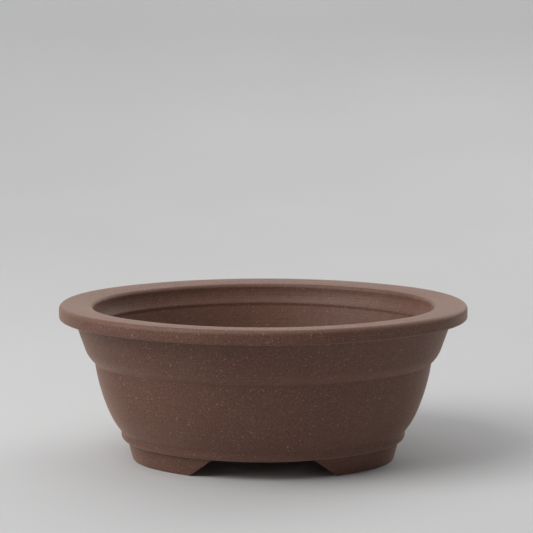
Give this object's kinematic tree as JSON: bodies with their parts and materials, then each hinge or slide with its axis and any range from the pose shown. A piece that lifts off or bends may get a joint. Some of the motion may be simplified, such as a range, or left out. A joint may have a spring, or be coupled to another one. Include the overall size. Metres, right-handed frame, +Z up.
{
  "type": "bonsai pot",
  "caption": "Oval unglazed stoneware bonsai pot with a wide lip, a collar band, a base moulding and end feet, with mesh screens clipped over its drainage holes.",
  "frame": {"origin": "centre of the ground plane under the feet", "axes": "+X along the length, +Y across the width towards the back, +Z up"},
  "size_m": [0.31, 0.259, 0.12],
  "materials": {
    "stoneware": "unglazed matte, fine grained, with tiny orange and tan grog specks",
    "screen_mesh": "moulded matte black",
    "clip_wire": "satin drawn wire"
  },
  "bodies": {
    "root": {"floor_slab": "stoneware", "bowl_wall": "stoneware", "collar_band": "stoneware", "rim_lip": "stoneware", "base_bead": "stoneware", "foot_left": "stoneware", "foot_right": "stoneware", "drainage_screen_left": "screen_mesh", "drainage_screen_right": "screen_mesh", "screen_clip_left": "clip_wire", "screen_clip_right": "clip_wire"}
  },
  "joints": []
}
